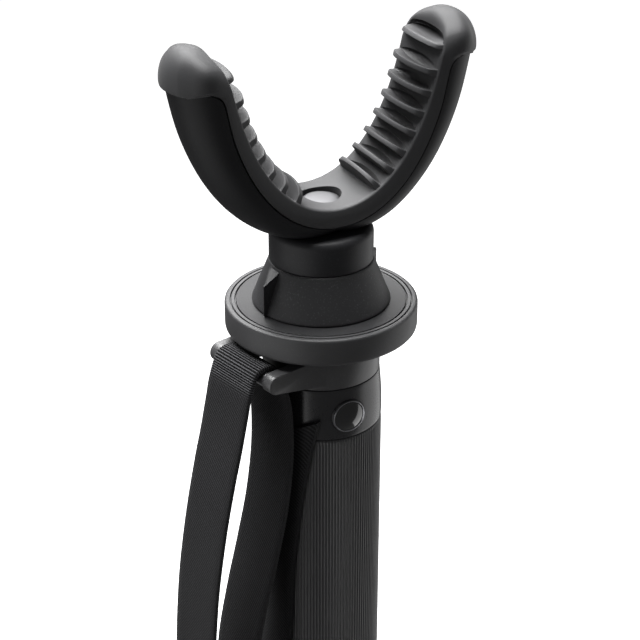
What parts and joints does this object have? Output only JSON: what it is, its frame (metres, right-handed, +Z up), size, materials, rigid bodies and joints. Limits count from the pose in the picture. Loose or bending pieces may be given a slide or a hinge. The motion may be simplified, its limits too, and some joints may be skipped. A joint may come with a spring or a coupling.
{
  "type": "camera monopod",
  "caption": "Telescoping camera monopod with flip-lever leg locks, rubber grip, webbing wrist strap, round head disc, lock knob and a ribbed U-shaped rest on top.",
  "frame": {"origin": "centre of the foot's ground face, on the column's axis", "axes": "+Z up the column, the arms of the rest at -X and +X, the badge on the collar towards -Y"},
  "size_m": [0.1049, 0.06, 0.6018],
  "materials": {
    "foot_rubber": "matte black rubber",
    "bush": "plain dark grey plastic",
    "tube": "satin black anodised",
    "lock": "fine-textured black plastic",
    "lever": "satin black plastic",
    "steel": "plain turned steel",
    "grip_rubber": "matte rubber with fine lengthwise ribs",
    "collar": "satin black plastic",
    "badge": "polished black dome",
    "strap_ring": "satin dark grey",
    "webbing": "woven charcoal webbing",
    "plug": "plain turned",
    "disc": "satin black with a bright rim",
    "pad": "fine grey rubber",
    "knob": "fine grained black",
    "hub": "satin black",
    "shell": "satin near-black plastic",
    "liner_rubber": "charcoal rubber",
    "screw": "polished"
  },
  "bodies": {
    "handle": {"upper_tube": "tube", "grip": "grip_rubber", "collar": "collar", "badge": "badge", "strap_ring": "strap_ring", "strap_bar": "steel", "wrist_strap": "webbing", "top_plug": "plug", "stud": "steel", "head_disc": "disc", "disc_pad": "pad", "lock_1": "lock", "clamp_bolt_1": "steel", "clamp_nut_1": "steel", "guide_bush_1": "bush"},
    "section_2": {"tube_2": "tube", "slide_ring_2": "bush", "lock_2": "lock", "clamp_bolt_2": "steel", "clamp_nut_2": "steel", "guide_bush_2": "bush"},
    "section_3": {"tube_3": "tube", "slide_ring_3": "bush", "lock_3": "lock", "clamp_bolt_3": "steel", "clamp_nut_3": "steel", "guide_bush_3": "bush"},
    "section_4": {"tube_4": "tube", "slide_ring_4": "bush", "foot_plug": "bush", "foot": "foot_rubber"},
    "lever_1": {"lever_1": "lever"},
    "lever_2": {"lever_2": "lever"},
    "lever_3": {"lever_3": "lever"},
    "knob": {"lock_knob": "knob"},
    "rest": {"rest_hub": "hub", "rest_shell": "shell", "rest_liner": "liner_rubber", "rest_screw": "screw"}
  },
  "joints": [
    {"name": "section_2_slide", "type": "slide", "parent": "handle", "child": "section_2", "axis": [0, 0, -1], "range_m": [0, 0.31]},
    {"name": "section_3_slide", "type": "slide", "parent": "section_2", "child": "section_3", "axis": [0, 0, -1], "range_m": [0, 0.31]},
    {"name": "section_4_slide", "type": "slide", "parent": "section_3", "child": "section_4", "axis": [0, 0, -1], "range_m": [0, 0.31]},
    {"name": "lever_1_flip", "type": "hinge", "parent": "handle", "child": "lever_1", "pos_m": [0.0216, 0.01145, 0.102], "axis": [0, 0, -1], "range_deg": [0, 120]},
    {"name": "lever_2_flip", "type": "hinge", "parent": "section_2", "child": "lever_2", "pos_m": [0.0194, 0.01145, 0.072], "axis": [0, 0, -1], "range_deg": [0, 120]},
    {"name": "lever_3_flip", "type": "hinge", "parent": "section_3", "child": "lever_3", "pos_m": [0.0172, 0.01145, 0.042], "axis": [0, 0, -1], "range_deg": [0, 120]},
    {"name": "knob_turn", "type": "hinge", "parent": "handle", "child": "knob", "pos_m": [0, 0, 0.5152], "axis": [0, 0, 1], "continuous": true},
    {"name": "rest_turn", "type": "hinge", "parent": "handle", "child": "rest", "pos_m": [0, 0, 0.5292], "axis": [0, 0, 1], "continuous": true}
  ]
}
